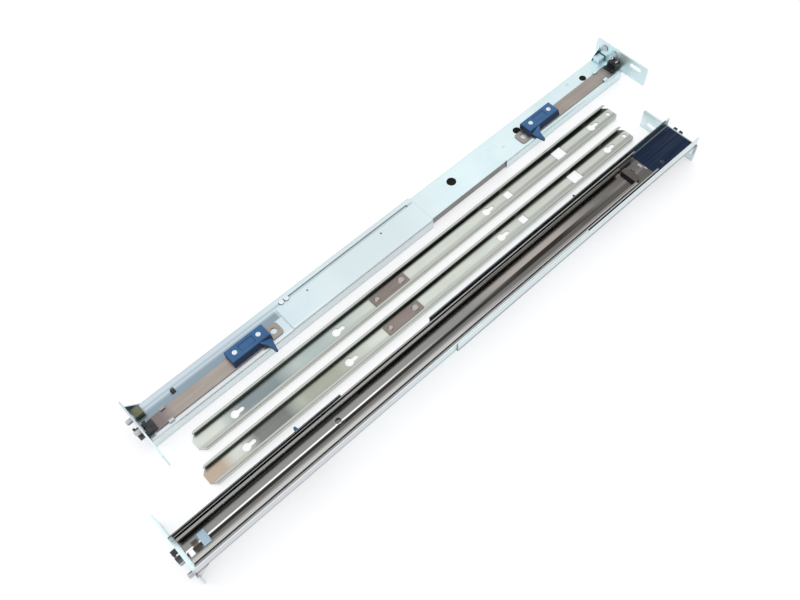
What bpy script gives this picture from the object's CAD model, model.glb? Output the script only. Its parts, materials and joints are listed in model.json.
# %% [markdown]
# # A pair of sliding server rails, dressed for the studio
# The real object is two telescoping rails of bent, zinc-plated sheet steel, each with a ball slide
# inside, and two loose inner members that screw to the sides of a server. The solids come from the
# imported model, so this lesson starts by loading them, notes their overall box, and then gives every
# surface its metal, paint or plastic.

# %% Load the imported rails
import json

import bpy
from mathutils import Matrix, Quaternion, Vector


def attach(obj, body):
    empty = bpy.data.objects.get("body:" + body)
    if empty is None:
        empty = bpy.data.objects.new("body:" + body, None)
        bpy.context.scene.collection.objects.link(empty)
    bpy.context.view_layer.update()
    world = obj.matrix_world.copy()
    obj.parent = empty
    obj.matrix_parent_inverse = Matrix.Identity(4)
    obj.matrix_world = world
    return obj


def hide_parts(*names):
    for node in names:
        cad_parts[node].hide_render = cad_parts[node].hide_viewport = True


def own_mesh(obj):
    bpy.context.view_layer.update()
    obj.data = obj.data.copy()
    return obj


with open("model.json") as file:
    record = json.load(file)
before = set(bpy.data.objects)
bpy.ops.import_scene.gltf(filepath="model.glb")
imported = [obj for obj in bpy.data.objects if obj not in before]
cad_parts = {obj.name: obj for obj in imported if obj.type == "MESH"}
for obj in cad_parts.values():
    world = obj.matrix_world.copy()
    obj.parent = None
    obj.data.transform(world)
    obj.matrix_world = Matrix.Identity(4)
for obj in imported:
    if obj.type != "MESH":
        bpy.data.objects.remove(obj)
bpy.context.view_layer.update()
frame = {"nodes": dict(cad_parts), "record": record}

nodes = frame["nodes"]

# %% [markdown]
# ## The camera
# The rails are laid out on a table and looked at from above one end, close enough for the far ends
# to look a little smaller. A look-at point and a roll are easier to read than three angles, so the
# camera is turned towards a point on the table and then rolled about its own axis.

# %% Camera above the near end
CAMERA_EYE = Vector((-0.3384, -0.3710, 0.8296))
CAMERA_AIM = Vector((-0.0441, 0.0052, 0.0))
CAMERA_ROLL = -0.0872
FOCAL_LENGTH = 38.01

camera_data = bpy.data.cameras.new("studio_camera")
camera_data.sensor_width = 36.0
camera_data.lens = FOCAL_LENGTH
camera_data.clip_start = 0.01
camera = bpy.data.objects.new("studio_camera", camera_data)
bpy.context.scene.collection.objects.link(camera)
gaze = (CAMERA_AIM - CAMERA_EYE).to_track_quat("-Z", "Y")
turn = (gaze @ Quaternion((0, 0, 1), CAMERA_ROLL)).to_matrix().to_4x4()
camera.matrix_world = Matrix.Translation(CAMERA_EYE) @ turn
bpy.context.scene.camera = camera
bpy.context.scene.view_settings.view_transform = "Standard"
print("camera", round((CAMERA_AIM - CAMERA_EYE).length, 3), "m from the table")

# %% [markdown]
# ## Small tools for node trees
# Every finish below is a tree of shader nodes. These helpers add a node with its plain numbers set,
# work out sums and colours from sockets, start a node group with named inputs and outputs, and
# stretch the coordinates along a rail, because almost every mark on a rail is long and narrow.

# %% Node tree helpers
def add(tree, kind, settings=None, **numbers):
    """Adds a node; numbers go to its sockets, settings to its own options."""
    node = tree.nodes.new(kind)
    for key, value in (settings or {}).items():
        setattr(node, key, value)
    for key, value in numbers.items():
        node.inputs[key.replace("_", " ")].default_value = value
    return node


def maths(tree, operation, first, second, clamp=False):
    """A Math node whose two inputs are numbers or sockets."""
    node = tree.nodes.new("ShaderNodeMath")
    node.operation = operation
    node.use_clamp = clamp
    for place, value in enumerate((first, second)):
        if isinstance(value, (int, float)):
            node.inputs[place].default_value = value
        else:
            tree.links.new(value, node.inputs[place])
    return node.outputs[0]


# A Mix node has sockets for every kind of data; these are the ones that it uses for colours.
MIX_FACTOR, MIX_FIRST, MIX_SECOND, MIX_RESULT = 0, 6, 7, 2


def mix_colour(tree, mask, first, second):
    """Mixes two colours, each a socket or a plain colour, by the socket of a mask."""
    node = tree.nodes.new("ShaderNodeMix")
    node.data_type = "RGBA"
    tree.links.new(mask, node.inputs[MIX_FACTOR])
    for place, value in ((MIX_FIRST, first), (MIX_SECOND, second)):
        if isinstance(value, bpy.types.NodeSocket):
            tree.links.new(value, node.inputs[place])
        else:
            node.inputs[place].default_value = (*value, 1.0)
    return node.outputs[MIX_RESULT]


def spread(tree, value, low, high, start=0.0, end=1.0):
    """Maps a value from start..end to low..high, held at both ends."""
    node = tree.nodes.new("ShaderNodeMapRange")
    tree.links.new(value, node.inputs["Value"])
    node.inputs["From Min"].default_value = start
    node.inputs["From Max"].default_value = end
    node.inputs["To Min"].default_value = low
    node.inputs["To Max"].default_value = high
    return node.outputs[0]


def start_group(name, inputs, outputs):
    """A new shader group: float inputs as {name: default}, and the names of its float outputs."""
    group = bpy.data.node_groups.new(name, "ShaderNodeTree")
    for key, value in inputs.items():
        socket = group.interface.new_socket(key, in_out="INPUT", socket_type="NodeSocketFloat")
        socket.default_value = value
    for key in outputs:
        group.interface.new_socket(key, in_out="OUTPUT", socket_type="NodeSocketFloat")
    return group, group.nodes.new("NodeGroupInput"), group.nodes.new("NodeGroupOutput")


def stretched_place(group, start):
    """Object coordinates times the group's Along input on X and its Across input on Y and Z."""
    place = add(group, "ShaderNodeTexCoord")
    scales = add(group, "ShaderNodeCombineXYZ")
    for axis, key in (("X", "Along"), ("Y", "Across"), ("Z", "Across")):
        group.links.new(start.outputs[key], scales.inputs[axis])
    stretch = add(group, "ShaderNodeVectorMath", {"operation": "MULTIPLY"})
    group.links.new(place.outputs["Object"], stretch.inputs[0])
    group.links.new(scales.outputs[0], stretch.inputs[1])
    return stretch.outputs[0]


print("node helpers ready")

# %% [markdown]
# ## Shared effect: rolling grain
# Cold-rolled sheet and drawn sections carry fine lines along their length. A noise that is drawn out
# along X makes them. The same lines serve as colour variation, roughness and bump, so they are
# one group with inputs for how fine and how long the lines are.

# %% Group: rolling grain
STREAK_WIDTH = 0.22  # of the scale of the fine lines, so the streaks are about five times as wide


def build_rolling_grain():
    group, start, end = start_group("rolling_grain", {"Across": 1500.0, "Along": 14.0},
                                    ["Lines", "Streaks"])
    place = stretched_place(group, start)
    lines = add(group, "ShaderNodeTexNoise", Scale=1.0, Detail=3.0, Roughness=0.6)
    group.links.new(place, lines.inputs["Vector"])
    group.links.new(lines.outputs[0], end.inputs["Lines"])
    wide = add(group, "ShaderNodeVectorMath", {"operation": "SCALE"}, Scale=STREAK_WIDTH)
    group.links.new(place, wide.inputs[0])
    streaks = add(group, "ShaderNodeTexNoise", Scale=1.0, Detail=2.0, Roughness=0.5)
    group.links.new(wide.outputs[0], streaks.inputs["Vector"])
    group.links.new(streaks.outputs[0], end.inputs["Streaks"])
    return group


rolling_grain = build_rolling_grain()
print("group", rolling_grain.name)

# %% [markdown]
# ## Shared effect: plating clouds
# Bright zinc has soft clouds where the passivate is thicker and bluer, and a much finer speckle from
# the crystal of the zinc. Two noises of different size give both masks.

# %% Group: plating clouds
def build_plating_clouds():
    group, start, end = start_group("plating_clouds", {"Size": 22.0, "Speckle": 900.0},
                                    ["Clouds", "Speckle"])
    place = add(group, "ShaderNodeTexCoord")
    clouds = add(group, "ShaderNodeTexNoise", Detail=4.0, Roughness=0.55, Distortion=0.6)
    group.links.new(place.outputs["Object"], clouds.inputs["Vector"])
    group.links.new(start.outputs["Size"], clouds.inputs["Scale"])
    group.links.new(spread(group, clouds.outputs[0], 0.0, 1.0, 0.32, 0.68), end.inputs["Clouds"])
    speckle = add(group, "ShaderNodeTexNoise", Detail=2.0, Roughness=0.7)
    group.links.new(place.outputs["Object"], speckle.inputs["Vector"])
    group.links.new(start.outputs["Speckle"], speckle.inputs["Scale"])
    group.links.new(speckle.outputs[0], end.inputs["Speckle"])
    return group


plating_clouds = build_plating_clouds()
print("group", plating_clouds.name)

# %% [markdown]
# ## Shared effect: rubbed edges
# Handling and sliding polish the corners first. A Bevel node rounds the shading normal near an edge,
# so comparing it with the true normal gives a mask of the edges of any solid, however it is meshed.
# Noise breaks the mask up, because real wear comes and goes.

# %% Group: rubbed edges
def build_rubbed_edges():
    group, start, end = start_group("rubbed_edges", {"Radius": 0.0006, "Gaps": 140.0}, ["Mask"])
    rounded = add(group, "ShaderNodeBevel", {"samples": 6})
    group.links.new(start.outputs["Radius"], rounded.inputs["Radius"])
    true = add(group, "ShaderNodeNewGeometry")
    compare = add(group, "ShaderNodeVectorMath", {"operation": "DOT_PRODUCT"})
    group.links.new(rounded.outputs[0], compare.inputs[0])
    group.links.new(true.outputs["Normal"], compare.inputs[1])
    edge = spread(group, compare.outputs["Value"], 1.0, 0.0, 0.80, 0.99)
    place = add(group, "ShaderNodeTexCoord")
    gaps = add(group, "ShaderNodeTexNoise", Detail=3.0, Roughness=0.6)
    group.links.new(place.outputs["Object"], gaps.inputs["Vector"])
    group.links.new(start.outputs["Gaps"], gaps.inputs["Scale"])
    uneven = spread(group, gaps.outputs[0], 0.15, 1.0, 0.38, 0.62)
    group.links.new(maths(group, "MULTIPLY", edge, uneven), end.inputs["Mask"])
    return group


rubbed_edges = build_rubbed_edges()
print("group", rubbed_edges.name)

# %% [markdown]
# ## Shared effect: oil film
# Ball slides leave the factory oiled, and the film gathers grey dust in long smears along the
# travel. A stretched noise with a soft threshold makes the smears.

# %% Group: oil film
def build_oil_film():
    group, start, end = start_group("oil_film", {"Along": 9.0, "Across": 120.0, "Amount": 0.5},
                                    ["Mask"])
    smears = add(group, "ShaderNodeTexNoise", Scale=1.0, Detail=5.0, Roughness=0.65, Distortion=0.3)
    group.links.new(stretched_place(group, start), smears.inputs["Vector"])
    film = spread(group, smears.outputs[0], 0.0, 1.0, 0.40, 0.66)
    group.links.new(maths(group, "MULTIPLY", film, start.outputs["Amount"]), end.inputs["Mask"])
    return group


oil_film = build_oil_film()
print("group", oil_film.name)

# %% [markdown]
# ## Shared effect: corner grime
# Oil and dust settle where a wall meets a web and inside the grooves, so those places look much
# darker than the open faces. The Ambient Occlusion node measures how closed in each point is, and
# so it finds such corners on any shape.

# %% Group: corner grime
def build_corner_grime():
    group, start, end = start_group("corner_grime", {"Reach": 0.005, "Amount": 1.0}, ["Mask"])
    closed_in = add(group, "ShaderNodeAmbientOcclusion", {"samples": 8})
    group.links.new(start.outputs["Reach"], closed_in.inputs["Distance"])
    dark = spread(group, closed_in.outputs["AO"], 1.0, 0.0, 0.25, 0.92)
    mask = maths(group, "MULTIPLY", dark, start.outputs["Amount"], clamp=True)
    group.links.new(mask, end.inputs["Mask"])
    return group


corner_grime = build_corner_grime()
print("group", corner_grime.name)

# %% [markdown]
# ## Shared effect: patch
# Some marks belong to one place only: grease along a ball track, a thicker blue passivate inside
# one bracket, a warmer bath stain at one end. A patch is a box in space with soft sides, whose mask
# is the product of six ramps, two for each axis. Its two ends along X have a softness of their own,
# Run, because most marks fade out slowly along a rail and sharply across it.

# %% Group: patch
PATCH_SIDES = ("X From", "X To", "Y From", "Y To", "Z From", "Z To")


def build_patch():
    inputs = {**dict.fromkeys(PATCH_SIDES, 0.0), "Run": 0.01, "Soft": 0.001, "Amount": 1.0}
    group, start, end = start_group("patch", inputs, ["Mask"])
    place = add(group, "ShaderNodeTexCoord")
    axes = add(group, "ShaderNodeSeparateXYZ")
    group.links.new(place.outputs["Object"], axes.inputs[0])
    mask = start.outputs["Amount"]
    for axis in "XYZ":
        above = maths(group, "SUBTRACT", axes.outputs[axis], start.outputs[axis + " From"])
        below = maths(group, "SUBTRACT", start.outputs[axis + " To"], axes.outputs[axis])
        for side in (above, below):
            ramp = maths(group, "DIVIDE", side, start.outputs["Run" if axis == "X" else "Soft"])
            mask = maths(group, "MULTIPLY", mask, maths(group, "ADD", ramp, 0.5, clamp=True))
    group.links.new(mask, end.inputs["Mask"])
    return group


patch = build_patch()
print("group", patch.name, "with", len(PATCH_SIDES), "sides")

# %% [markdown]
# ## Metal finishes
# All the metals share one recipe: a base colour that drifts towards a second tint in clouds and
# streaks, then the patches of that metal, brighter rubbed edges, oil smears that dull it, dark
# corners, and grain in the roughness and bump. What makes each metal its own is the numbers, so the
# recipe is one function and each finish is a call.

# %% Recipe: worked metal
def use(tree, group, **numbers):
    """Places a shared group in a material with its own values."""
    node = tree.nodes.new("ShaderNodeGroup")
    node.node_tree = group
    for key, value in numbers.items():
        node.inputs[key].default_value = value
    return node


METAL_RELIEF = 0.00002


def worked_metal(name, base, tint, rubbed, rough=(0.25, 0.45), metallic=1.0, clouds=22.0,
                 film=0.3, film_colour=(0.2, 0.19, 0.17),
                 grime=0.6, grime_colour=(0.05, 0.05, 0.045), patches=()):
    """Sheet or section steel with clouds, grain, worked edges, an oil film and dark corners."""
    material = bpy.data.materials.new(name)
    material.use_nodes = True
    tree = material.node_tree
    shader = tree.nodes["Principled BSDF"]
    grain = use(tree, rolling_grain)
    plating = use(tree, plating_clouds, Size=clouds)
    edges = use(tree, rubbed_edges)
    smears = use(tree, oil_film, Amount=film)
    corners = use(tree, corner_grime, Amount=grime)
    streaks, lines = grain.outputs["Streaks"], grain.outputs["Lines"]
    streaky = spread(tree, streaks, 0.45, 1.0, 0.3, 0.7)
    drift = maths(tree, "MULTIPLY", plating.outputs["Clouds"], streaky)
    colour = mix_colour(tree, drift, base, tint)
    for patch_colour, sides, run, soft, amount in patches:
        place = use(tree, patch, Run=run, Soft=soft, Amount=amount, **dict(zip(PATCH_SIDES, sides)))
        uneven = spread(tree, streaks, 0.985, 1.0, 0.3, 0.6)
        mask = maths(tree, "MULTIPLY", place.outputs["Mask"], uneven)
        colour = mix_colour(tree, mask, colour, patch_colour)
    colour = mix_colour(tree, smears.outputs["Mask"], colour, film_colour)
    colour = mix_colour(tree, edges.outputs["Mask"], colour, rubbed)
    colour = mix_colour(tree, corners.outputs["Mask"], colour, grime_colour)
    tree.links.new(colour, shader.inputs["Base Color"])
    dull = maths(tree, "ADD", lines, smears.outputs["Mask"])
    tree.links.new(spread(tree, dull, *rough, 0.25, 1.1), shader.inputs["Roughness"])
    shader.inputs["Metallic"].default_value = metallic
    height = maths(tree, "ADD", maths(tree, "MULTIPLY", lines, 0.7),
                   maths(tree, "MULTIPLY", plating.outputs["Speckle"], 0.5))
    relief = add(tree, "ShaderNodeBump", Strength=0.5, Distance=METAL_RELIEF)
    tree.links.new(height, relief.inputs["Height"])
    tree.links.new(relief.outputs[0], shader.inputs["Normal"])
    return material


print("metal recipe ready")

# %% [markdown]
# ## Where the brackets are marked
# Zinc comes out of its bath uneven. The right rail is greyer towards its rear end, and the inside of
# the left rail's front end is deep blue, where the passivate pooled. Their folds and rims are darker
# or paler lines. Each of these is one patch. It is given by its reach across its rail, in
# millimetres from the rail's middle, and by its reach along X and up Z, in metres.

# %% Patches of the zinc brackets
RIGHT_Y, LEFT_Y = 0.0732, -0.0732
ALL = (-1.0, 1.0)


def across(centre, low, high, x=ALL, z=ALL):
    """Sides of a patch given across a rail, in millimetres from its middle."""
    return (*x, centre + low / 1000, centre + high / 1000, *z)


# Each patch: colour, sides, softness along the rail, softness across it, amount.
zinc_patches = [
    # The right rail: a greyer middle and rear, the shade beside the strap, and two folds.
    ((0.62, 0.70, 0.72), across(RIGHT_Y, -24.0, 24.0, (-0.12, 0.06)), 0.10, 0.001, 0.9),
    ((0.54, 0.62, 0.68), across(RIGHT_Y, -19.0, 24.0, (-0.60, -0.15)), 0.12, 0.001, 1.0),
    ((0.21, 0.28, 0.33), across(RIGHT_Y, 0.4, 11.5, (-0.345, -0.160), (0.0135, 0.0160)),
     0.004, 0.002, 1.0),
    ((0.34, 0.42, 0.46), across(RIGHT_Y, 12.3, 15.4, (-0.345, 0.050), (0.0150, 0.0180)),
     0.004, 0.001, 0.6),
    ((0.74, 0.77, 0.78), across(RIGHT_Y, -23.0, -21.0, (-0.60, 0.5), (-0.001, 0.0150)),
     0.01, 0.001, 0.6),
    # The left rail: blue inside its front end, then the dark rim that faces the other rail.
    ((0.010, 0.020, 0.050), across(LEFT_Y, -20.9, 20.9, (0.2650, 0.3475), (0.0240, 0.0284)),
     0.002, 0.001, 1.0),
    ((0.05, 0.09, 0.12), across(LEFT_Y, 18.0, 21.2, (0.2770, 0.3475), (0.0284, 0.0400)),
     0.002, 0.001, 0.9),
    ((0.07, 0.075, 0.07), across(LEFT_Y, 19.2, 23.0, (-0.39, 0.340), (0.0402, 0.0430)),
     0.002, 0.0006, 0.95),
    # Its outer wall, greyer at the rear, with the fold at the wall's foot.
    ((0.66, 0.66, 0.68), across(LEFT_Y, -24.0, -19.4, (-0.60, -0.10)), 0.12, 0.001, 0.9),
    ((0.70, 0.76, 0.77), across(LEFT_Y, -24.0, -19.4, (-0.05, 0.60)), 0.10, 0.001, 0.8),
    ((0.22, 0.23, 0.25), across(LEFT_Y, -24.0, -20.0, z=(0.0265, 0.0310)), 0.01, 0.002, 0.8),
    # Places of their own: the left rear end, the strap's guide, and the two rails' facing walls.
    ((0.33, 0.45, 0.54), across(LEFT_Y, -8.0, 10.0, (-0.3700, -0.3590), (0.0308, 0.0340)),
     0.001, 0.001, 1.0),
    ((0.33, 0.33, 0.34), across(RIGHT_Y, -19.0, 4.0, (-0.3400, -0.2500), (0.0166, 0.0190)),
     0.002, 0.0004, 1.0),
    ((0.64, 0.67, 0.69), across(RIGHT_Y, -24.0, -17.0, (-0.60, -0.17), (0.0135, 0.0600)),
     0.10, 0.0006, 0.9),
    ((0.66, 0.67, 0.64), across(LEFT_Y, 17.6, 25.0, (-0.39, 0.262), (0.0270, 0.0402)),
     0.01, 0.0004, 0.95),
]
print(len(zinc_patches), "zinc patches")

# %% [markdown]
# ## Where the slides are marked
# The slide in the left rail lies open. Its floor is bright where the balls' cage has rubbed it and
# black with grease in the grooves, and the lips of its sections alternate light and dark lines.
# The floor and the lips are two heights, so they are named once.

# %% Patches of the slides
FLOOR = (0.0290, 0.0330)
LIPS = (0.0385, 0.0430)
slide_patches = [
    # The back of the right slide, dark behind the bracket's holes.
    ((0.008, 0.008, 0.008), across(RIGHT_Y, -19.0, 19.0, z=(0.0128, 0.0140)), 0.01, 0.0004, 1.0),
    # The left slide's floor: dull bands beside the middle, warmer and darker to the front.
    ((0.255, 0.26, 0.255), across(LEFT_Y, 1.0, 12.0, (-0.60, 0.05), FLOOR), 0.10, 0.002, 0.95),
    ((0.40, 0.365, 0.34), across(LEFT_Y, 1.0, 12.0, (0.02, 0.16), FLOOR), 0.06, 0.002, 0.9),
    ((0.12, 0.10, 0.09), across(LEFT_Y, 2.0, 12.0, (0.22, 0.60), FLOOR), 0.08, 0.003, 0.9),
    ((0.14, 0.14, 0.135), across(LEFT_Y, -14.7, -2.0, (-0.60, 0.16), FLOOR), 0.10, 0.0010, 0.95),
    ((0.55, 0.55, 0.54), across(LEFT_Y, -16.0, -8.0, (-0.60, 0.02), FLOOR), 0.10, 0.0045, 0.95),
    ((0.10, 0.09, 0.082), across(LEFT_Y, -14.7, -2.0, (0.14, 0.60), FLOOR), 0.06, 0.0010, 0.90),
    # Black grease in the groove along the middle, and the bright line that rubbing leaves.
    ((0.022, 0.021, 0.019), across(LEFT_Y, -3.6, -0.2, (-0.60, 0.05), FLOOR), 0.10, 0.0006, 1.0),
    ((0.028, 0.024, 0.020), across(LEFT_Y, -4.0, 1.6, (0.02, 0.18), FLOOR), 0.10, 0.0012, 1.0),
    ((0.92, 0.92, 0.90), across(LEFT_Y, 0.2, 1.8, (-0.60, -0.10), FLOOR), 0.10, 0.0004, 1.0),
    # The lips of its sections, from the one that faces the other rail to the outer one.
    ((0.045, 0.042, 0.038), across(LEFT_Y, 12.4, 16.4, z=(0.0290, 0.0395)), 0.01, 0.0014, 0.95),
    ((0.30, 0.30, 0.29), across(LEFT_Y, 12.0, 14.4, (-0.60, -0.03), LIPS), 0.06, 0.0006, 0.85),
    ((0.10, 0.095, 0.085), across(LEFT_Y, 12.0, 14.4, (0.0, 0.60), LIPS), 0.06, 0.0006, 0.90),
    ((0.46, 0.455, 0.44), across(LEFT_Y, 14.4, 16.2, (-0.60, 0.22), LIPS), 0.04, 0.0004, 0.90),
    ((0.20, 0.195, 0.18), across(LEFT_Y, 14.4, 16.2, (0.20, 0.60), LIPS), 0.04, 0.0004, 0.85),
    ((0.20, 0.20, 0.195), across(LEFT_Y, 16.6, 19.4, (-0.60, -0.185), LIPS), 0.01, 0.0004, 0.85),
    ((0.42, 0.415, 0.40), across(LEFT_Y, 16.6, 19.4, (-0.185, 0.60), LIPS), 0.01, 0.0004, 0.85),
    ((0.50, 0.50, 0.49), across(LEFT_Y, -15.0, -12.0, (-0.60, 0.02), LIPS), 0.12, 0.0006, 0.95),
    ((0.26, 0.255, 0.25), across(LEFT_Y, -15.0, -12.0, (0.02, 0.60), LIPS), 0.12, 0.0006, 0.90),
    ((0.72, 0.72, 0.71), across(LEFT_Y, -16.2, -14.6, z=LIPS), 0.10, 0.0004, 0.95),
    ((0.10, 0.10, 0.095), across(LEFT_Y, -17.8, -16.6, z=LIPS), 0.01, 0.0004, 0.95),
    ((0.60, 0.60, 0.60), across(LEFT_Y, -19.4, -17.8, z=LIPS), 0.01, 0.0004, 0.9),
    # Small marks at its two ends: scraped grease and bare bright steel.
    ((0.05, 0.045, 0.04), across(LEFT_Y, -7.0, 6.0, (-0.3775, -0.3705), FLOOR), 0.002, 0.0010, 0.9),
    ((0.90, 0.91, 0.92), across(LEFT_Y, -6.0, 0.0, (-0.3840, -0.3790), FLOOR), 0.001, 0.0010, 1.0),
    ((0.60, 0.58, 0.58), across(LEFT_Y, 1.0, 7.0, (0.2735, 0.2760), FLOOR), 0.001, 0.0010, 1.0),
    ((0.60, 0.58, 0.60), across(LEFT_Y, -5.0, -1.0, (0.2760, 0.2780), FLOOR), 0.001, 0.0010, 1.0),
]
print(len(slide_patches), "slide patches")

# %% [markdown]
# ## Where the loose members, straps and rivets are marked
# The two inner members are drawn from one section, so they share their rows of marks: a pale line
# along one side of the web, and grease under the other lip that grows towards the far end. Each
# also has its own stains near its left end, blue grey on the upper one and straw on the lower one.
# The straps darken at both ends, beside the flanges, and the rivets of the lock leaves are browner
# than those of the levers.

# %% Patches of the inner members, straps and rivets
UPPER_Y, LOWER_Y = 0.0230, -0.0148
WEB = (-0.001, 0.0022)
inner_patches = []
for middle, start in ((UPPER_Y, -0.316), (LOWER_Y, -0.329)):
    inner_patches += [
        ((0.42, 0.45, 0.42), across(middle, -9.6, -4.6, (start, 0.5), WEB), 0.01, 0.002, 0.7),
        ((0.14, 0.16, 0.15), across(middle, 8.6, 12.5, (-0.60, start + 0.30), (-0.001, 0.0060)),
         0.20, 0.0024, 0.8),
        ((0.022, 0.030, 0.027), across(middle, 6.8, 12.5, (start + 0.22, 0.60), (-0.001, 0.0064)),
         0.16, 0.0036, 0.98),
        ((0.035, 0.045, 0.040), across(middle, 5.4, 12.5, (0.17, 0.60), WEB), 0.16, 0.0020, 0.95),
        ((0.35, 0.355, 0.34), across(middle, -9.6, -3.0, (0.14, 0.60), WEB), 0.12, 0.0020, 0.8),
        ((0.52, 0.55, 0.52), across(middle, 9.2, 13.0, z=(0.0064, 0.0090)), 0.01, 0.0004, 0.8),
        ((0.44, 0.44, 0.42), across(middle, -13.0, -9.2, z=(0.0062, 0.0090)), 0.01, 0.0004, 0.8),
    ]
inner_patches += [
    # The stains near the left ends.
    ((0.36, 0.45, 0.45), across(UPPER_Y, -9.0, 9.0, (-0.20, -0.11), WEB), 0.07, 0.002, 0.9),
    ((0.19, 0.24, 0.26), across(UPPER_Y, -9.0, 9.0, (-0.268, -0.195), WEB), 0.03, 0.002, 0.95),
    ((0.32, 0.34, 0.28), across(LOWER_Y, -9.0, 9.0, (-0.22, -0.13), WEB), 0.05, 0.002, 0.9),
    ((0.15, 0.165, 0.16), across(LOWER_Y, -9.0, 9.0, (-0.272, -0.214), WEB), 0.02, 0.002, 0.95),
    ((0.43, 0.345, 0.27), across(LOWER_Y, -9.5, 9.5, (-0.60, -0.300), WEB), 0.016, 0.002, 0.95),
]
strap_patches = [
    ((0.17, 0.14, 0.145), across(RIGHT_Y, -18.0, 2.0, (-0.60, -0.318)), 0.016, 0.001, 0.8),
    ((0.17, 0.16, 0.15), across(RIGHT_Y, -18.0, 2.0, (0.372, 0.60)), 0.016, 0.001, 0.7),
]
rivet_patches = [
    ((0.34, 0.31, 0.29), (-0.12, 0.0, LOWER_Y - 0.01, UPPER_Y + 0.01, *ALL), 0.001, 0.001, 0.85),
]
print(len(inner_patches), "inner,", len(strap_patches), "strap,", len(rivet_patches), "rivet marks")

# %% [markdown]
# ## The metals themselves
# Each metal is its three colours (the base, the tint that it drifts to, and the rubbed edges) and
# what differs from the recipe's usual numbers. Small parts have smaller clouds, so that a ball or a
# rivet still shows some.

# %% Metals
METALS = {
    "zinc_plate": dict(
        base=(0.73, 0.86, 0.88), tint=(0.64, 0.79, 0.83), rubbed=(0.42, 0.48, 0.52),
        rough=(0.26, 0.46), film=0.03, film_colour=(0.54, 0.62, 0.66),
        grime=0.4, grime_colour=(0.10, 0.13, 0.15),
        patches=zinc_patches),
    "slide_steel": dict(
        base=(0.24, 0.235, 0.225), tint=(0.15, 0.145, 0.14), rubbed=(0.50, 0.49, 0.47),
        rough=(0.16, 0.36), film=0.14, film_colour=(0.10, 0.095, 0.09),
        grime_colour=(0.020, 0.019, 0.018),
        patches=slide_patches),
    "inner_zinc": dict(
        base=(0.62, 0.66, 0.61), tint=(0.54, 0.59, 0.55), rubbed=(0.20, 0.205, 0.19),
        rough=(0.24, 0.42), film=0.2, film_colour=(0.46, 0.43, 0.36),
        grime=0.7, grime_colour=(0.03, 0.035, 0.032),
        patches=inner_patches),
    "strap_steel": dict(
        base=(0.39, 0.35, 0.32), tint=(0.31, 0.26, 0.24), rubbed=(0.16, 0.14, 0.13),
        rough=(0.22, 0.42), film=0.25, patches=strap_patches),
    "leaf_steel": dict(base=(0.26, 0.22, 0.20), tint=(0.20, 0.17, 0.155), rubbed=(0.10, 0.09, 0.08)),
    "rivet_steel": dict(
        base=(0.74, 0.81, 0.88), tint=(0.60, 0.68, 0.76), rubbed=(0.88, 0.90, 0.92),
        rough=(0.22, 0.40), film=0.15, clouds=180.0, patches=rivet_patches),
    "pin_steel": dict(
        base=(0.56, 0.58, 0.60), tint=(0.42, 0.44, 0.47), rubbed=(0.80, 0.81, 0.82),
        rough=(0.18, 0.36), film=0.2, clouds=180.0),
    "strip_steel": dict(
        base=(0.24, 0.24, 0.22), tint=(0.16, 0.16, 0.15), rubbed=(0.40, 0.40, 0.38),
        rough=(0.3, 0.5), film=0.5),
    "ball_steel": dict(
        base=(0.72, 0.72, 0.71), tint=(0.55, 0.55, 0.55), rubbed=(0.80, 0.80, 0.80),
        rough=(0.06, 0.16), film=0.2, clouds=260.0),
    "spring_steel": dict(
        base=(0.40, 0.40, 0.40), tint=(0.30, 0.30, 0.31), rubbed=(0.6, 0.6, 0.6),
        rough=(0.22, 0.4), clouds=260.0),
    "olive_zinc": dict(
        base=(0.13, 0.15, 0.085), tint=(0.19, 0.19, 0.11), rubbed=(0.40, 0.40, 0.32),
        rough=(0.3, 0.5), metallic=0.7, clouds=200.0),
    "black_oxide": dict(
        base=(0.022, 0.026, 0.030), tint=(0.035, 0.04, 0.045), rubbed=(0.14, 0.15, 0.16),
        rough=(0.28, 0.5), metallic=0.6, film=0.2, clouds=200.0),
}
finishes = {name: worked_metal(name, **numbers) for name, numbers in METALS.items()}
print("metals", sorted(finishes))

# %% [markdown]
# ## Moulded plastic
# The finger levers are moulded in a deep blue plastic with a fine spark-eroded texture, worn paler
# at the corners where a thumb rubs. Their upright sides are never touched and keep the darker colour
# of the moulding's skin. The end stop in each slide is a plain moulding, brown with old grease. Both
# use a diffuse base with a fine bump from noise.

# %% Recipe: moulded plastic
PLASTIC_RELIEF = 0.00003


def moulded_plastic(name, base, tint, rubbed, sides, rough=(0.34, 0.5)):
    """A moulding: its base and tint in clouds, other colours on its sides and rubbed corners."""
    material = bpy.data.materials.new(name)
    material.use_nodes = True
    tree = material.node_tree
    shader = tree.nodes["Principled BSDF"]
    skin = use(tree, plating_clouds, Size=60.0, Speckle=1400.0)
    edges = use(tree, rubbed_edges, Radius=0.0008, Gaps=220.0)
    colour = mix_colour(tree, skin.outputs["Clouds"], base, tint)
    facing = add(tree, "ShaderNodeSeparateXYZ")
    tree.links.new(add(tree, "ShaderNodeNewGeometry").outputs["True Normal"], facing.inputs[0])
    upright = spread(tree, maths(tree, "ABSOLUTE", facing.outputs["Z"], 0.0), 1.0, 0.0, 0.45, 0.92)
    colour = mix_colour(tree, upright, colour, sides)
    worn = maths(tree, "MULTIPLY", edges.outputs["Mask"], 0.7)
    tree.links.new(mix_colour(tree, worn, colour, rubbed), shader.inputs["Base Color"])
    speckle = skin.outputs["Speckle"]
    tree.links.new(spread(tree, speckle, *rough, 0.3, 0.7), shader.inputs["Roughness"])
    relief = add(tree, "ShaderNodeBump", Strength=0.6, Distance=PLASTIC_RELIEF)
    tree.links.new(speckle, relief.inputs["Height"])
    tree.links.new(relief.outputs[0], shader.inputs["Normal"])
    return material


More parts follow.
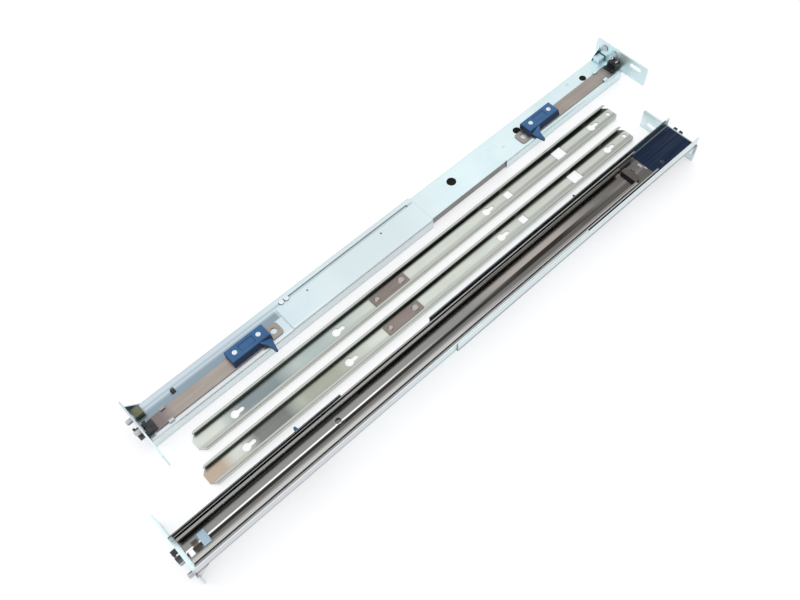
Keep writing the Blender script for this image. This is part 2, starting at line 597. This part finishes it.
finishes["blue_plastic"] = moulded_plastic(
    "blue_plastic", base=(0.011, 0.085, 0.225), tint=(0.026, 0.120, 0.28),
    rubbed=(0.07, 0.20, 0.38), sides=(0.004, 0.018, 0.060), rough=(0.42, 0.6))
finishes["bumper_plastic"] = moulded_plastic(
    "bumper_plastic", base=(0.085, 0.072, 0.062), tint=(0.060, 0.050, 0.044),
    rubbed=(0.34, 0.32, 0.30), sides=(0.030, 0.026, 0.024))
print("plastics", [name for name in finishes if "plastic" in name])

# %% [markdown]
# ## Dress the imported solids
# The record says which finish each solid has, so the finishes are handed out from that list and no
# solid can be missed.

# %% Give every solid its finish
for entry in frame["record"]["subparts"]:
    slots = nodes[entry["node"]].data.materials
    slots.clear()
    slots.append(finishes[entry["material_slot"]])

# %% [markdown]
# ## Modelling helpers
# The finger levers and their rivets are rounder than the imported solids, so they are modelled again
# in place. The helpers start a block or a round bar, pick its faces or corners by where they are,
# join or cut one shape with another, and copy a finished piece to another corner of the pair.

# %% Modelling helpers
ROUND_SIDES = 40


def pick(kind, test):
    """In edit mode, selects the "VERT" corners or "FACE" faces that pass a test of place and normal."""
    bpy.ops.mesh.select_mode(type=kind)
    bpy.ops.mesh.select_all(action="DESELECT")
    bpy.ops.object.mode_set(mode="OBJECT")
    mesh = bpy.context.object.data
    if kind == "FACE":
        for face in mesh.polygons:
            face.select = test(face.center, face.normal)
    else:
        for corner in mesh.vertices:
            corner.select = test(corner.co, corner.normal)
    bpy.ops.object.mode_set(mode="EDIT")


def settle(name):
    """Names the new shape and moves its place from the object into its mesh."""
    bpy.context.object.name = name
    bpy.ops.object.transform_apply(location=True, rotation=True, scale=True)
    return bpy.context.object


def start_block(name, low, high):
    """A block between two corners, in metres."""
    bpy.ops.object.select_all(action="DESELECT")
    middle = [(a + b) / 2 for a, b in zip(low, high)]
    edges = [b - a for a, b in zip(low, high)]
    bpy.ops.mesh.primitive_cube_add(size=1.0, location=middle, scale=edges)
    return settle(name)


def start_round(name, foot, radius, height):
    """An upright round bar, given by the centre of its foot."""
    bpy.ops.object.select_all(action="DESELECT")
    middle = (foot[0], foot[1], foot[2] + height / 2)
    bpy.ops.mesh.primitive_cylinder_add(vertices=ROUND_SIDES, radius=radius, depth=height,
                                        location=middle)
    return settle(name)


def combine(piece, other, operation):
    """Joins or cuts one solid with another and removes the second."""
    change = piece.modifiers.new("shape", "BOOLEAN")
    change.operation = operation
    change.solver = "EXACT"
    change.object = other
    bpy.ops.object.select_all(action="DESELECT")
    bpy.context.view_layer.objects.active = piece
    piece.select_set(True)
    bpy.ops.object.modifier_apply(modifier=change.name)
    bpy.data.objects.remove(other)


def copy_to(piece, name, matrix):
    """A copy with its own mesh, moved or mirrored by a matrix."""
    twin = piece.copy()
    twin.data = piece.data.copy()
    twin.name = name
    bpy.context.scene.collection.objects.link(twin)
    twin.data.transform(matrix)
    if matrix.determinant() < 0:
        twin.data.flip_normals()
    return twin


print("modelling helpers ready")

# %% [markdown]
# ## The finger lever's block
# The lever is a hollow moulding riveted on the pull strap. Its front side leans back so that it
# leaves the mould, its top edges are rounded, and a shallow dish between the rivets gives a thumb its
# place. The dish goes in by two insets, so that its walls slope like the moulded ones.
# Lengths along the rail are measured back from the front flange, as the real lever is set out.

# %% Lever block
FRONT_FLANGE = 0.3913
LEVER_FOOT = Vector((FRONT_FLANGE - 0.166, 0.0572, 0.01605))
LEVER_TOP = Vector((FRONT_FLANGE - 0.115, 0.0777, 0.0239))
TOP_NARROWED = 0.829
EDGE_ROUND = 0.0011
DISH_CENTRE = (FRONT_FLANGE - 0.140, 0.0694, LEVER_TOP.z)
DISH_SHARE = (0.42, 0.76, 1.0)

lever = start_block("right_front_finger_lever", LEVER_FOOT, LEVER_TOP)
bpy.ops.object.mode_set(mode="EDIT")
pick("FACE", lambda place, normal: normal.z > 0.9)
bpy.ops.transform.resize(value=(1.0, TOP_NARROWED, 1.0), center_override=tuple(LEVER_TOP))
bpy.ops.mesh.bevel(offset=EDGE_ROUND, segments=3, affect="EDGES")
pick("FACE", lambda place, normal: normal.z > 0.999 and place.z > LEVER_TOP.z - 0.0001)
bpy.ops.mesh.inset(thickness=0.0009)
bpy.ops.transform.resize(value=DISH_SHARE, center_override=DISH_CENTRE)
for depth, rim in ((0.0004, 0.0003), (0.0007, 0.0009)):
    bpy.ops.mesh.inset(thickness=rim)
    bpy.ops.transform.translate(value=(0.0, 0.0, -depth))
bpy.ops.object.mode_set(mode="OBJECT")
print("lever block", len(lever.data.polygons), "faces")

# %% [markdown]
# ## The lever's finger fin
# A curved blade sweeps out of the leaning side, where a finger hooks it and pulls the strap back. It
# is pulled out of a small root block in stations: each one is a little further out, narrower, and
# lower than the last. Its crest keeps to the concave side, so the other flank slopes away. A station
# is four numbers: its place across the rail, how far its crest and its flank are back from the front
# flange, and the height of the crest.

# %% Finger fin
FIN_STATIONS = (
    (0.0545, 0.1549, 0.1640, 0.0222),
    (0.0510, 0.1568, 0.1633, 0.0214),
    (0.0472, 0.1576, 0.1625, 0.0206),
    (0.0440, 0.1579, 0.1618, 0.0200),
    (0.0421, 0.1583, 0.1613, 0.0196),
    (0.0413, 0.1592, 0.1606, 0.0193),
)
FIN_ROOT_Y = 0.0580
FIN_FOOT = 0.01625
FLANK_SHARE = 0.35
NEARBY = 0.0002


def selected_corners():
    bpy.context.object.update_from_editmode()
    return [c for c in bpy.context.object.data.vertices if c.select]


def shape_station(y, crest, flank, top):
    """Puts the selected end's four corners on a station's outline, the flank below the crest."""
    corners = [c.co for c in selected_corners()]
    middle = sum(corners, Vector()) / len(corners)
    flank_top = FIN_FOOT + FLANK_SHARE * (top - FIN_FOOT)
    for edge, height in ((FRONT_FLANGE - crest, top), (FRONT_FLANGE - flank, flank_top)):
        forward = edge > FRONT_FLANGE - (crest + flank) / 2
        for upper, z in ((True, height), (False, FIN_FOOT)):
            pick("VERT", lambda place, normal: abs(place.y - y) < NEARBY
                 and (place.x > middle.x) == forward and (place.z > middle.z) == upper)
            corner = selected_corners()[0].co.copy()
            bpy.ops.transform.translate(value=(edge - corner.x, 0.0, z - corner.z))


fin = start_block("finger_fin", (FRONT_FLANGE - 0.1645, FIN_ROOT_Y, FIN_FOOT),
                  (FRONT_FLANGE - 0.1515, 0.0640, 0.0228))
bpy.ops.object.mode_set(mode="EDIT")
pick("VERT", lambda place, normal: place.x < FRONT_FLANGE - 0.158 and place.z > 0.02)
bpy.ops.transform.translate(value=(0.0, 0.0, -0.0042))
y_now = FIN_ROOT_Y
for y, crest, flank, top in FIN_STATIONS:
    pick("FACE", lambda place, normal: normal.y < -0.9 and place.y < y_now + NEARBY)
    bpy.ops.mesh.extrude_region_move(TRANSFORM_OT_translate={"value": (0.0, y - y_now, 0.0)})
    shape_station(y, crest, flank, top)
    y_now = y
pick("FACE", lambda place, normal: True)
bpy.ops.mesh.normals_make_consistent(inside=False)
bpy.ops.object.mode_set(mode="OBJECT")
softened = fin.modifiers.new("soft", "BEVEL")
softened.width = 0.0004
softened.segments = 2
bpy.ops.object.modifier_apply(modifier="soft")
combine(lever, fin, "UNION")
print("fin with", len(FIN_STATIONS), "stations")

# %% [markdown]
# ## Pocket and rivet holes, and the four levers
# A pocket underneath clears the spring. It is cut last, together with the two rivet holes. The real
# tool makes left and right handed levers, so the others are this one mirrored: along the rail for a
# rear end, and in all three directions for the left rail, which lies turned over.

# %% Cut the pocket and place the four levers
LEVER_RIVETS = (FRONT_FLANGE - 0.156, FRONT_FLANGE - 0.124)
RIVET_Y = 0.0692
HOLE_RADIUS = 0.00155
CUT_FOOT = 0.0150
pocket = start_block("pocket", (FRONT_FLANGE - 0.1496, 0.0657, CUT_FOOT),
                     (FRONT_FLANGE - 0.1275, 0.0717, 0.0219))
combine(lever, pocket, "DIFFERENCE")
for x in LEVER_RIVETS:
    hole = start_round("rivet_hole", (x, RIVET_Y, CUT_FOOT), HOLE_RADIUS, 0.0100)
    combine(lever, hole, "DIFFERENCE")
bpy.ops.object.mode_set(mode="EDIT")
pick("FACE", lambda place, normal: True)
bpy.ops.mesh.normals_make_consistent(inside=False)
bpy.ops.object.mode_set(mode="OBJECT")
bpy.ops.object.shade_smooth_by_angle(angle=0.6)

ENDS_SUM = 0.0426
HEIGHT_SUM = 0.0415
REAR_LIFT = 0.0003


def placing(mirrors, x=0.0, z=0.0):
    """A matrix that mirrors X, Y or Z where the sign is -1, and then moves along X and up Z."""
    return Matrix.Translation((x, 0.0, z)) @ Matrix.Diagonal((*mirrors, 1.0))


PLACINGS = {
    "right_rear": placing((-1.0, 1.0, 1.0), ENDS_SUM, REAR_LIFT),
    "left_front": placing((-1.0, -1.0, -1.0), 0.0, HEIGHT_SUM),
    "left_rear": placing((1.0, -1.0, -1.0), -ENDS_SUM, HEIGHT_SUM - REAR_LIFT),
}


def hand_out(piece, label, stands_for, finish):
    """Dresses a piece of the right front latch, copies it to the others and sets each on its body."""
    piece.data.materials.clear()
    piece.data.materials.append(finishes[finish])
    everyone = {"right_front": piece}
    for corner, matrix in PLACINGS.items():
        everyone[corner] = copy_to(piece, corner + label, matrix)
    for corner, each in everyone.items():
        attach(each, corner + "_latch")
        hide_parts(corner + stands_for)
    return everyone


levers = hand_out(lever, "_finger_lever", "_lever", "blue_plastic")
print("levers", sorted(levers))

# %% [markdown]
# ## The lever's domed rivets
# Two cold-headed rivets hold each lever on its strap. A head starts as a thin disc, its crown is
# raised by three insets and its shank is pulled down through the lever. The second rivet of a pair is
# a copy of the first.

# %% Domed rivets
HEAD_RADIUS, HEAD_RIM = 0.0030, 0.00025
SHANK_LENGTH = 0.0088

head_foot = (LEVER_RIVETS[0], RIVET_Y, 0.0239)
rivet = start_round("right_front_domed_rivets", head_foot, HEAD_RADIUS, HEAD_RIM)
bpy.ops.object.mode_set(mode="EDIT")
for rim, rise in ((0.0003, 0.00035), (0.0006, 0.00028), (0.0008, 0.00010)):
    pick("FACE", lambda place, normal: normal.z > 0.999)
    bpy.ops.mesh.inset(thickness=rim)
    bpy.ops.transform.translate(value=(0.0, 0.0, rise))
pick("FACE", lambda place, normal: normal.z < -0.999)
bpy.ops.mesh.inset(thickness=HEAD_RADIUS / 2)
bpy.ops.mesh.extrude_region_move(TRANSFORM_OT_translate={"value": (0.0, 0.0, -SHANK_LENGTH)})
bpy.ops.object.mode_set(mode="OBJECT")
bpy.ops.object.shade_smooth_by_angle(angle=0.7)
rivet_pitch = LEVER_RIVETS[1] - LEVER_RIVETS[0]
second = copy_to(rivet, "second_rivet", Matrix.Translation((rivet_pitch, 0.0, 0.0)))
second.select_set(True)
bpy.context.view_layer.objects.active = rivet
bpy.ops.object.join()
rivets = hand_out(rivet, "_domed_rivets", "_lever_rivets", "rivet_steel")
print("rivets", sorted(rivets))

# %% [markdown]
# ## The return springs
# Each spring is wound from round wire and sits in its lever's pocket, with one end against a tab of
# the bracket. When the lever is pulled, the coil shortens towards that tab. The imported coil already
# has the right wire and turns, so each spring is a copy with its seams merged, and it squashes with
# its own latch by the travel that the pocket gives.

# %% Return springs that shorten
for corner in ("right_front", *PLACINGS):
    spring = bpy.data.objects.new(corner + "_coil_spring", nodes[corner + "_spring"].data.copy())
    bpy.context.scene.collection.objects.link(spring)
    bpy.ops.object.select_all(action="DESELECT")
    bpy.context.view_layer.objects.active = spring
    spring.select_set(True)
    bpy.ops.object.mode_set(mode="EDIT")
    bpy.ops.mesh.select_all(action="SELECT")
    bpy.ops.mesh.remove_doubles(threshold=0.00001)
    bpy.ops.mesh.normals_make_consistent(inside=False)
    bpy.ops.object.mode_set(mode="OBJECT")
    bpy.ops.object.shade_smooth_by_angle(angle=0.9)
    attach(spring, corner + "_body")
    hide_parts(corner + "_spring")
    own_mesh(spring)

# %% [markdown]
# ## The rear stop tabs
# A small blackened stop sits in a notch of each rear bracket, beside the strap. It is pressed from
# thick sheet, so it starts as a block, its crown is raised by an inset and its outer side is drawn
# out into a lip. The left rail's tab is mirrored from the right one's, as the levers are.

# %% Rear stop tabs
TAB_LOW = (-0.3014, 0.0806, 0.0139)
TAB_HIGH = (-0.2962, 0.0850, 0.0170)
TAB_LIP = (0.0006, 0.0014, 0.0007)

stop_tab = start_block("right_rear_stop_tab", TAB_LOW, TAB_HIGH)
bpy.ops.object.mode_set(mode="EDIT")
pick("FACE", lambda place, normal: normal.z > 0.9)
bpy.ops.mesh.inset(thickness=0.0008)
bpy.ops.transform.translate(value=(0.0, 0.0, 0.0007))
pick("FACE", lambda place, normal: normal.y > 0.9)
bpy.ops.mesh.inset(thickness=0.0007)
bpy.ops.mesh.extrude_region_move(TRANSFORM_OT_translate={"value": TAB_LIP})
bpy.ops.object.mode_set(mode="OBJECT")
stop_tab.data.materials.append(finishes["black_oxide"])
left_tab = copy_to(stop_tab, "left_rear_stop_tab", PLACINGS["left_front"])
for rail, tab in (("right", stop_tab), ("left", left_tab)):
    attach(tab, rail + "_rear_body")
print("stop tabs", len(stop_tab.data.polygons), "faces each")

# %% [markdown]
# ## The table and the light
# The rails lie on a plain white table under soft light from a big diffuser overhead and one from the
# far left. The table and the world are white only where they are seen, so that the ground looks
# white while the light that bounces stays plain, and the table keeps its soft contact shadows.

# %% Table, world and lamps
TABLE_SIZE = 16.0
TABLE_GAP = 0.0002  # keeps the table just under the lowest solid
TABLE_GLOW = 0.46
GLOW_STRENGTH = 1.14
WHITE = (1.0, 1.0, 1.0)


def seen_rays(tree):
    """1 where the camera looks, straight or through gloss or glass, and 0 for light that bounces."""
    rays = add(tree, "ShaderNodeLightPath")
    seen = maths(tree, "ADD", rays.outputs["Is Camera Ray"], rays.outputs["Is Glossy Ray"])
    return maths(tree, "ADD", seen, rays.outputs["Is Transmission Ray"], clamp=True)


def build_table():
    bpy.ops.object.select_all(action="DESELECT")
    bpy.ops.mesh.primitive_plane_add(size=TABLE_SIZE, location=(0, 0, -TABLE_GAP))
    table = bpy.context.object
    table.name = "table"
    material = bpy.data.materials.new("white_table")
    material.use_nodes = True
    tree = material.node_tree
    shader = tree.nodes["Principled BSDF"]
    seen = seen_rays(tree)
    tree.links.new(mix_colour(tree, seen, (0.72, 0.72, 0.72), WHITE), shader.inputs["Base Color"])
    shader.inputs["Roughness"].default_value = 0.9
    shader.inputs["Specular IOR Level"].default_value = 0.0
    white = add(tree, "ShaderNodeEmission", Strength=GLOW_STRENGTH)
    blend = tree.nodes.new("ShaderNodeMixShader")
    tree.links.new(maths(tree, "MULTIPLY", seen, TABLE_GLOW), blend.inputs[0])
    tree.links.new(shader.outputs[0], blend.inputs[1])
    tree.links.new(white.outputs[0], blend.inputs[2])
    tree.links.new(blend.outputs[0], tree.nodes["Material Output"].inputs["Surface"])
    table.data.materials.append(material)


def build_world():
    world = bpy.data.worlds.new("studio")
    bpy.context.scene.world = world
    world.use_nodes = True
    tree = world.node_tree
    sky = mix_colour(tree, seen_rays(tree), (0.95, 0.95, 0.98), WHITE)
    tree.links.new(sky, tree.nodes["Background"].inputs["Color"])


def soft_lamp(name, spot, size, power):
    """A rectangular diffuser that faces the middle of the table."""
    data = bpy.data.lights.new(name, "AREA")
    data.shape = "RECTANGLE"
    data.size, data.size_y = size
    data.energy = power
    lamp = bpy.data.objects.new(name, data)
    facing = (-Vector(spot)).to_track_quat("-Z", "Y").to_matrix().to_4x4()
    lamp.matrix_world = Matrix.Translation(spot) @ facing
    bpy.context.scene.collection.objects.link(lamp)


build_table()
build_world()
soft_lamp("overhead_diffuser", (0.0, 0.2, 1.9), size=(2.4, 2.0), power=3.5)
soft_lamp("left_diffuser", (-1.0, 1.2, 1.1), size=(1.2, 0.8), power=2.2)
print("studio lit")
